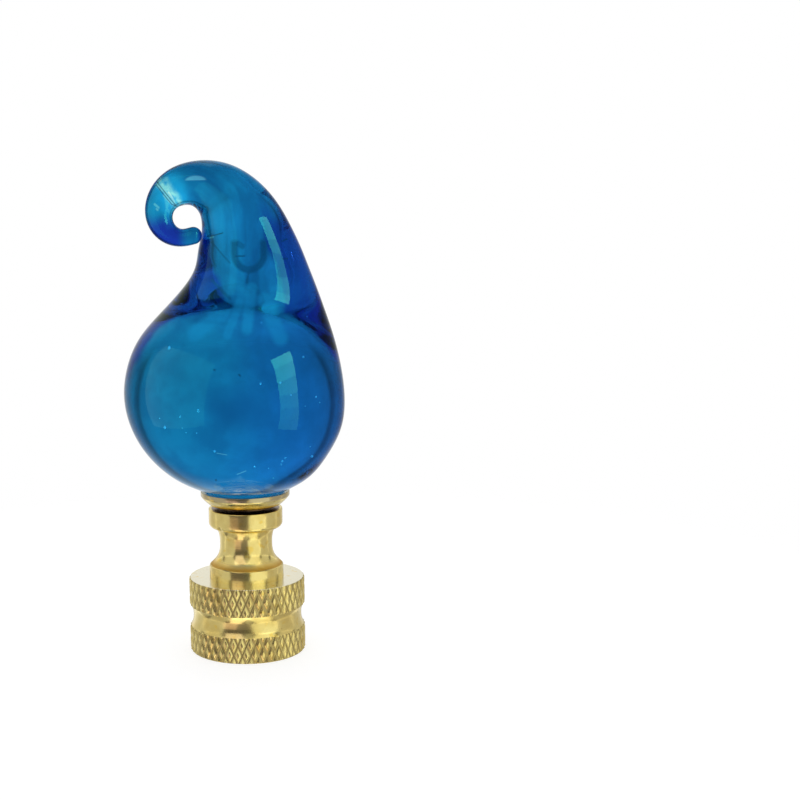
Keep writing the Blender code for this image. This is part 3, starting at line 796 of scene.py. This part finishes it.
SEED_PLACES = (
    (-0.0060, -0.0085, 0.0262), (-0.0056, -0.0086, 0.0258), (-0.0046, -0.0090, 0.0258),
    (-0.0080, -0.0065, 0.0270), (0.0060, -0.0082, 0.0280), (0.0074, -0.0066, 0.0281),
    (0.0070, -0.0068, 0.0287), (0.0040, -0.0082, 0.0229), (0.0036, -0.0080, 0.0222),
    (0.0023, -0.0080, 0.0219), (0.0028, -0.0070, 0.0207), (0.0046, -0.0088, 0.0292),
)
SEED_COUNT = 26
SEED_RADII = (0.00005, 0.00012)
SEED_SPREAD = 0.0085
SEED_CENTRE = Vector((-0.0008, 0.0, 0.0262))

chance = random.Random(4)
seed_bm = bmesh.new()
for order in range(SEED_COUNT):
    radius = chance.uniform(*SEED_RADII)
    if order < len(SEED_PLACES):
        seed_place = Vector(SEED_PLACES[order])
    else:
        towards = Vector([chance.gauss(0.0, 1.0) for _ in range(3)]).normalized()
        seed_place = SEED_CENTRE + towards * SEED_SPREAD * chance.random() ** 0.4
    bmesh.ops.create_icosphere(seed_bm, subdivisions=2, radius=radius,
                               matrix=Matrix.Translation(seed_place))
seeds = finished("seeds_in_the_glass", seed_bm, 80.0)
glinting_air = bpy.data.materials.new("air_with_painted_glint")
glinting_air.use_nodes = True
glint_shader = glinting_air.node_tree.nodes["Principled BSDF"]
glint_shader.inputs["Base Color"].default_value = (0.85, 0.95, 1.0, 1.0)
glint_shader.inputs["Roughness"].default_value = 0.02
glint_shader.inputs["IOR"].default_value = 0.67
glint_shader.inputs["Transmission Weight"].default_value = 0.35
# The seeds glow faintly: painted glints, standing in for light caught in the bubbles
glint_shader.inputs["Emission Color"].default_value = (0.5, 0.9, 1.0, 1.0)
glint_shader.inputs["Emission Strength"].default_value = 0.35
seeds.data.materials.append(glinting_air)
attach(seeds, "root")

# Setting
# A pale floor that fades into a white backdrop, the surroundings that the brass mirrors, softboxes
# for the glass, and the camera at the photograph's viewing angle.

floor_bm = bmesh.new()
bmesh.ops.create_circle(floor_bm, cap_ends=True, radius=0.2, segments=64)
floor = finished("floor", floor_bm, 30.0)
floor_material = bpy.data.materials.new("pale_floor")
floor_material.use_nodes = True
floor_nodes = floor_material.node_tree.nodes
floor_links = floor_material.node_tree.links
floor_shader = floor_nodes["Principled BSDF"]
floor_shader.inputs["Base Color"].default_value = (0.35, 0.35, 0.35, 1.0)
floor_shader.inputs["Roughness"].default_value = 0.9
floor_shader.inputs["Emission Color"].default_value = (1.0, 1.0, 1.0, 1.0)
floor_shader.inputs["Emission Strength"].default_value = 0.75
floor_place = floor_nodes.new("ShaderNodeTexCoord")
floor_reach = floor_nodes.new("ShaderNodeVectorMath")
floor_reach.operation = "LENGTH"
floor_links.new(floor_place.outputs["Object"], floor_reach.inputs[0])
floor_fade = floor_nodes.new("ShaderNodeMapRange")
floor_fade.interpolation_type = "SMOOTHSTEP"
floor_fade.inputs["From Min"].default_value = 0.04
floor_fade.inputs["From Max"].default_value = 0.09
floor_links.new(floor_reach.outputs["Value"], floor_fade.inputs["Value"])
floor_clear = floor_nodes.new("ShaderNodeBsdfTransparent")
floor_seen = floor_nodes.new("ShaderNodeLightPath")
floor_mirrored = floor_nodes.new("ShaderNodeMath")
floor_mirrored.operation = "SUBTRACT"
floor_mirrored.use_clamp = True
floor_links.new(floor_seen.outputs["Is Glossy Ray"], floor_mirrored.inputs[0])
floor_links.new(floor_seen.outputs["Is Transmission Ray"], floor_mirrored.inputs[1])
floor_pick = floor_nodes.new("ShaderNodeMath")
floor_pick.operation = "MAXIMUM"
floor_links.new(floor_mirrored.outputs[0], floor_pick.inputs[0])
floor_links.new(floor_fade.outputs["Result"], floor_pick.inputs[1])
floor_mix = floor_nodes.new("ShaderNodeMixShader")
floor_links.new(floor_pick.outputs[0], floor_mix.inputs[0])
floor_links.new(floor_shader.outputs[0], floor_mix.inputs[1])
floor_links.new(floor_clear.outputs[0], floor_mix.inputs[2])
floor_links.new(floor_mix.outputs[0], floor_nodes["Material Output"].inputs["Surface"])
floor.data.materials.append(floor_material)

world = bpy.data.worlds.new("studio")
bpy.context.scene.world = world
world.use_nodes = True
sky = Finish(world.node_tree)
sky_axes = sky.parts(sky.nodes.new("ShaderNodeTexCoord").outputs["Generated"])
# Round from the camera's side at 0 degrees: what is mirrored, dark but for the backdrop
azimuth = sky.sums("ARCTAN2", sky_axes[0], sky.sums("MULTIPLY", sky_axes[1], -1.0))
azimuth = sky.sums("DEGREES", azimuth)
mirrored = sky.stops(azimuth, -180.0, 180.0, (
    (-180.0, 0.95), (-158.0, 0.50), (-149.0, 0.36), (-136.0, 0.16), (-128.0, 0.07), (0.0, 0.09),
    (136.0, 0.07), (149.0, 0.16), (158.0, 0.34), (180.0, 0.95)))
# What shows through the glass: the bright backdrop with its dark edge, dimmer sides, and more above
through = sky.blend(1.0, sky.stops(sky_axes[1], -1.0, 1.0, (
    (-1.0, 0.62), (-0.5, 0.62), (0.20, 0.66), (0.58, 0.76), (0.64, 0.46), (0.68, 0.40),
    (0.72, 0.85), (0.82, 1.0), (1.0, 1.0))), sky.stops(sky_axes[2], -1.0, 1.0, (
        (-1.0, 0.55), (-0.45, 0.60), (-0.14, 0.68),
        (0.10, 0.74), (0.39, 0.86), (1.0, 0.90))), "MULTIPLY")
through = sky.blend(1.0, through, (1.48, 1.48, 1.48, 1.0), "MULTIPLY")
seen = sky.nodes.new("ShaderNodeLightPath")
in_metal = sky.sums("SUBTRACT", seen.outputs["Is Glossy Ray"], seen.outputs["Is Transmission Ray"])
# Beyond the glass even a mirrored ray takes the bright surroundings
past_glass = sky.sums("MINIMUM", seen.outputs["Transmission Depth"], 1.0)
in_metal = sky.sums("SUBTRACT", in_metal, past_glass)
surroundings = sky.blend(sky.sums("MAXIMUM", in_metal, 0.0), through, mirrored)
surroundings = sky.blend(seen.outputs["Is Camera Ray"], surroundings, (1.0, 1.0, 1.0, 1.0))
sky.links.new(surroundings, sky.nodes["Background"].inputs["Color"])

LIGHT_CENTRE = Vector((0.0, 0.0, 0.020))


def softbox(name, lit, direction, distance, size, radiance):
    """A soft panel that faces the finial and lights some of it, placed by its direction from there."""
    panel = bpy.data.lights.new(name, "AREA")
    panel.shape = "RECTANGLE"
    panel.size, panel.size_y = size
    panel.energy = math.pi * size[0] * size[1]
    panel.color = radiance
    turn, lift = (math.radians(degrees) for degrees in direction)
    towards = Vector((math.sin(turn) * math.cos(lift), -math.cos(turn) * math.cos(lift), math.sin(lift)))
    light = bpy.data.objects.new(name, panel)
    light.location = LIGHT_CENTRE + towards * distance
    light.rotation_euler = towards.to_track_quat("Z", "Y").to_euler()
    light.visible_camera = False
    light.visible_transmission = False
    light.light_linking.receiver_collection = lit
    bpy.context.scene.collection.objects.link(light)


for_glass = bpy.data.collections.new("lit_for_gloss")
for_glass.objects.link(glass)
for_brass = bpy.data.collections.new("lit_for_brass")
for_brass.objects.link(brass_base)
for_brass.objects.link(brass_cup)
GLASS_LIGHT_DISTANCE = 0.40
SOFTBOX_LEVELS = (1.1, 1.4, 1.9, 2.9, 4.2, 5.4)
for step, level in enumerate(SOFTBOX_LEVELS):
    softbox("right_softbox_%d" % step, for_glass, (57.0, 11.0 * step - 20.0), GLASS_LIGHT_DISTANCE,
            (0.150, 0.077), (level, level, 0.93 * level))
softbox("left_window", for_glass, (-66.0, 12.0), GLASS_LIGHT_DISTANCE, (0.60, 0.66),
        (0.50, 0.54, 0.54))
BRASS_LIGHT_DISTANCE = 0.30
PANEL_SCALE = 0.64
# Panels that the brass mirrors: from, to round the camera's side; from, to in height; radiance
BRASS_PANELS = (
    (-158.0, -106.0, -36.0, 10.0, (0.56, 0.55, 0.54)),
    (-106.0, -52.0, -36.0, 10.0, (0.56, 0.55, 0.54)),
    (-52.0, -8.0, -14.8, 10.0, (0.03, 0.02, 0.03)),
    (-8.0, 11.0, -15.0, 10.0, (0.02, 0.02, 0.02)),
    (11.0, 63.0, -36.0, 10.0, (0.92, 0.93, 0.86)),
    (63.0, 110.0, -36.0, 10.0, (0.48, 0.46, 0.44)),
    (110.0, 158.0, -36.0, 10.0, (0.48, 0.46, 0.44)),
    (-158.0, -106.0, 10.0, 70.0, (0.60, 0.59, 0.57)),
    (-106.0, -52.0, 10.0, 70.0, (0.60, 0.59, 0.57)),
    (-52.0, -8.0, 10.0, 70.0, (0.90, 0.80, 0.88)),
    (-8.0, 11.0, 10.0, 70.0, (0.30, 0.30, 0.28)),
    (11.0, 63.0, 10.0, 70.0, (0.95, 0.95, 0.85)),
    (63.0, 110.0, 10.0, 70.0, (0.55, 0.54, 0.52)),
    (110.0, 158.0, 10.0, 70.0, (0.55, 0.54, 0.52)),
    (-158.0, -106.0, -80.0, -36.0, (0.42, 0.42, 0.42)),
    (-106.0, -46.0, -80.0, -36.0, (0.46, 0.45, 0.44)),
    (-52.0, -24.0, -36.0, -14.8, (0.60, 0.44, 0.45)),
    (-24.0, 11.0, -36.0, -15.0, (0.14, 0.12, 0.14)),
    (-46.0, -8.0, -80.0, -36.0, (1.45, 1.22, 1.08)),
    (-8.0, 11.0, -80.0, -36.0, (0.42, 0.41, 0.38)),
    (11.0, 63.0, -80.0, -36.0, (1.05, 1.02, 0.84)),
    (63.0, 158.0, -80.0, -36.0, (0.42, 0.41, 0.40)),
    (-60.0, 60.0, 70.0, 90.0, (0.95, 0.85, 0.75)),
)
for order, (first, last, low, high, radiance) in enumerate(BRASS_PANELS):
    middle = (low + high) / 2.0
    width = math.tan(math.radians(last - first) / 2.0) * math.cos(math.radians(middle))
    height = math.tan(math.radians(high - low) / 2.0)
    softbox("brass_panel_%d" % order, for_brass, ((first + last) / 2.0, middle), BRASS_LIGHT_DISTANCE,
            (PANEL_SCALE * width, PANEL_SCALE * height), radiance)

CAMERA_DISTANCE = 0.1518
CAMERA_PITCH = math.radians(7.8)
CAMERA_ROLL = math.radians(1.17)
LOOK_AT = Vector((-0.000352, 0.0, 0.027607))
camera_data = bpy.data.cameras.new("photo_camera")
camera_data.lens = 63.0
camera_data.sensor_width = 36.0
camera_data.shift_x = 0.2
camera_data.clip_start = 0.005
camera = bpy.data.objects.new("photo_camera", camera_data)
aim = Matrix.Rotation(math.pi / 2.0 - CAMERA_PITCH, 4, "X") @ Matrix.Rotation(-CAMERA_ROLL, 4, "Z")
back = Vector((0.0, -math.cos(CAMERA_PITCH), math.sin(CAMERA_PITCH)))
camera.matrix_world = Matrix.Translation(LOOK_AT + back * CAMERA_DISTANCE) @ aim
bpy.context.scene.collection.objects.link(camera)
bpy.context.scene.camera = camera
bpy.context.scene.view_settings.view_transform = "Standard"
bpy.context.scene.cycles.max_bounces = 48
bpy.context.scene.cycles.glossy_bounces = 48
bpy.context.scene.cycles.transmission_bounces = 48
